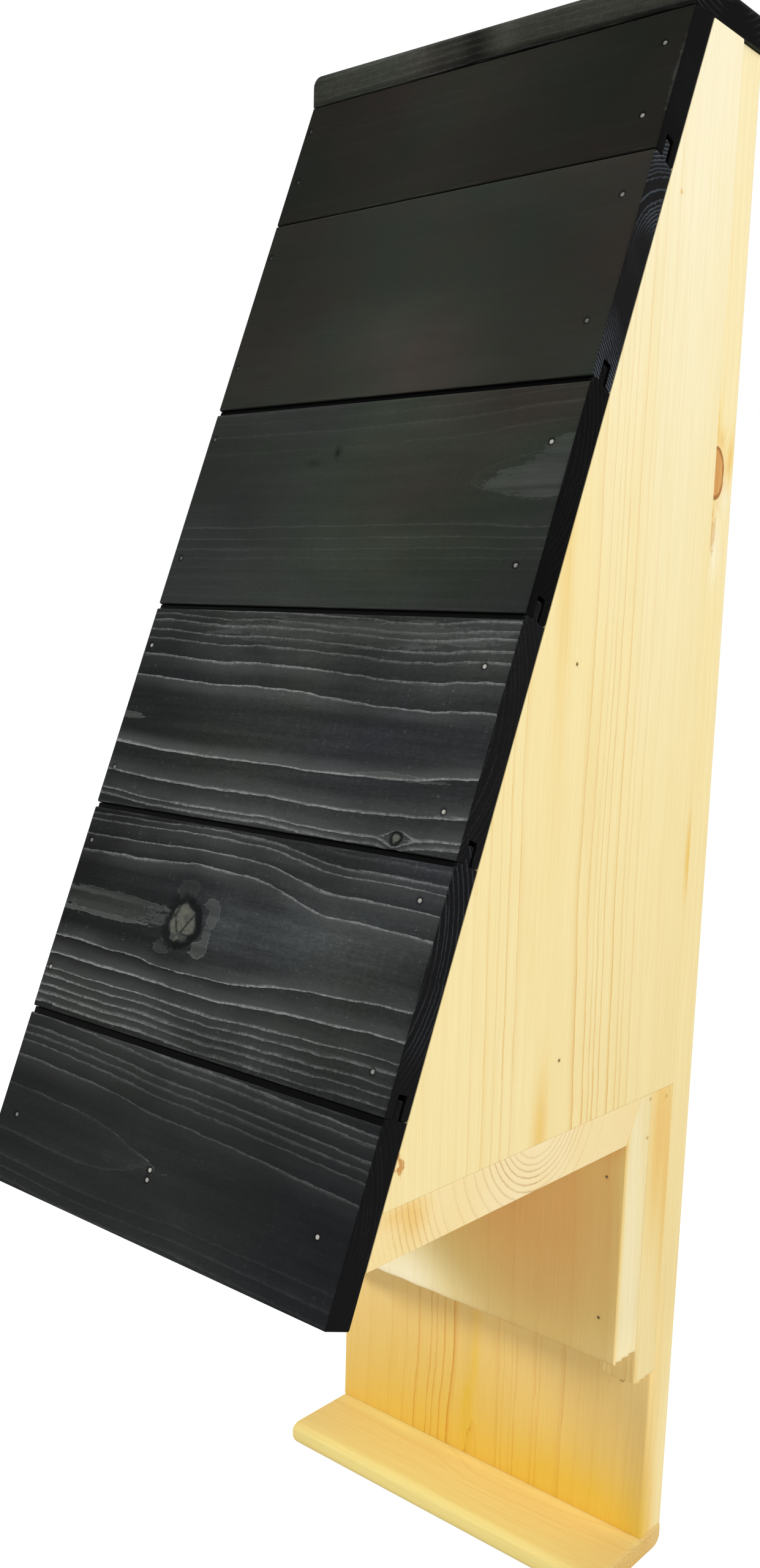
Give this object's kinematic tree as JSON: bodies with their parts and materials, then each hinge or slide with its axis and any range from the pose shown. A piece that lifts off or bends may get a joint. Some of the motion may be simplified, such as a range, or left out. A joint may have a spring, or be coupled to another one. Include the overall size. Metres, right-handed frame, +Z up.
{
  "type": "bat box",
  "caption": "Wall-hung wooden bat box with a slanted front of black tongue and groove boards, pale sides, an entrance slot underneath and a landing ledge at the foot of its back board.",
  "frame": {"origin": "centre of the back board's rear face, which lies on the wall", "axes": "+Z up the wall, +X to the right of a viewer who faces the box, +Y into the wall"},
  "size_m": [0.19, 0.2322, 0.655],
  "materials": {
    "back_wood": "planed pale softwood, untreated",
    "ledge_wood": "planed pale softwood, untreated",
    "side_wood": "planed pale softwood, fine upright grain",
    "floor_wood": "planed pale softwood, end grain at the sides",
    "panel_wood": "planed pale softwood",
    "batten_wood": "sawn softwood",
    "black_cladding": "black stained, raised grain",
    "black_roof": "black stained, smooth",
    "nail_steel": "bright nail heads"
  },
  "bodies": {
    "root": {"back_board": "back_wood", "landing_ledge": "ledge_wood", "side_panel_right": "side_wood", "side_panel_left": "side_wood", "floor_board": "floor_wood", "entrance_panel": "panel_wood", "batten_right": "batten_wood", "batten_left": "batten_wood", "front_board_1": "black_cladding", "front_board_2": "black_cladding", "front_board_3": "black_cladding", "front_board_4": "black_cladding", "front_board_5": "black_cladding", "front_board_6": "black_cladding", "roof_board": "black_roof"}
  },
  "joints": []
}
